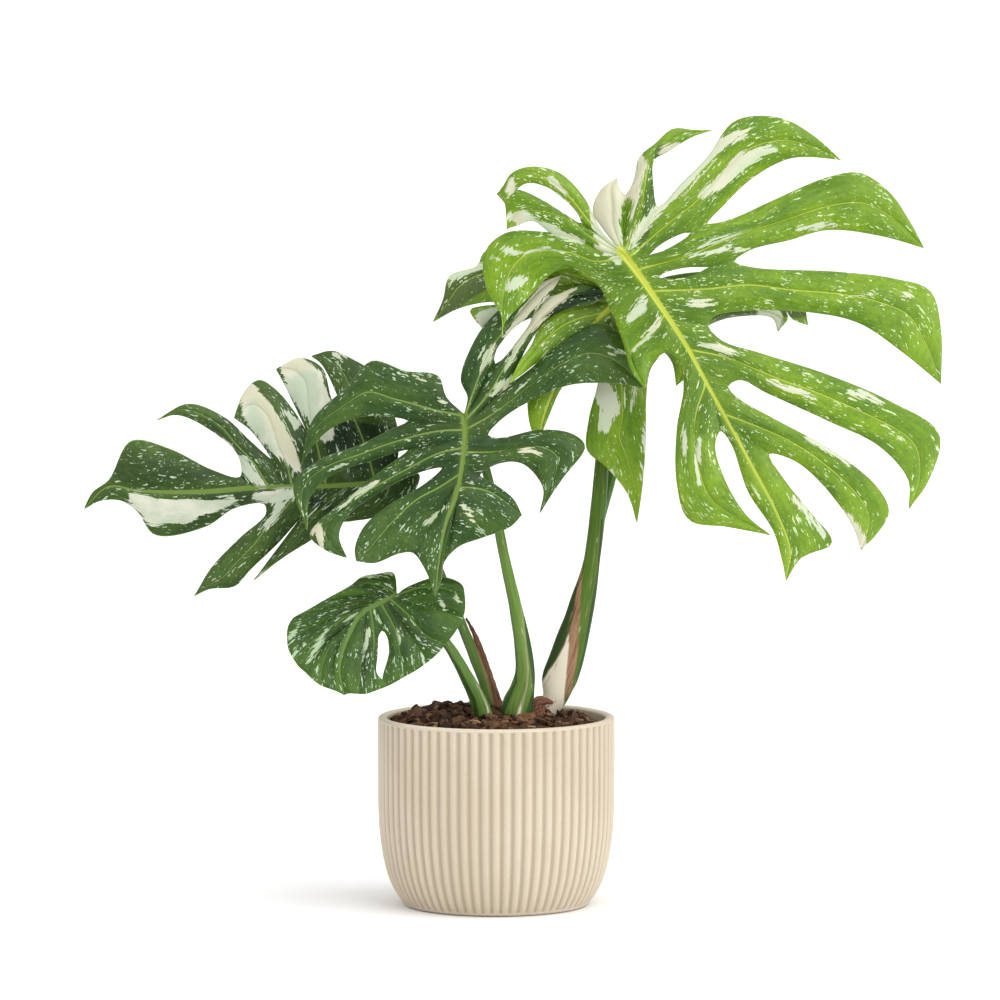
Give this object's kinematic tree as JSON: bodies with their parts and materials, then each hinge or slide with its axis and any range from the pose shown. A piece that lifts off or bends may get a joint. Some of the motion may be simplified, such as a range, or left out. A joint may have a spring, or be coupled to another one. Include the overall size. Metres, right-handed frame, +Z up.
{
  "type": "potted monstera plant",
  "caption": "Variegated monstera with split lobed leaves on arching stalks, growing in bark soil in a round pot with vertical ribs.",
  "frame": {"origin": "centre of the pot's flat base, on the surface that the pot stands on", "axes": "+Z up along the pot's axis, -Y towards the front, from which the leaf faces show, +X to the viewer's right"},
  "size_m": [0.6097, 0.2488, 0.5645],
  "materials": {
    "pot": "satin",
    "soil": "rough",
    "stalk": "satin",
    "dry_husk": "matte",
    "leaf_lime": "satin",
    "leaf_deep": "satin",
    "leaf_mid": "satin"
  },
  "bodies": {
    "root": {"pot": "pot", "soil": "soil", "stalk_top": "stalk", "stalk_back": "stalk", "stalk_middle": "stalk", "stalk_left": "stalk", "stalk_small": "stalk", "dry_sheath": "dry_husk", "dry_bract": "dry_husk", "leaf_top": "leaf_lime", "leaf_back": "leaf_lime", "leaf_middle": "leaf_deep", "leaf_left": "leaf_mid", "leaf_small": "leaf_mid"}
  },
  "joints": []
}
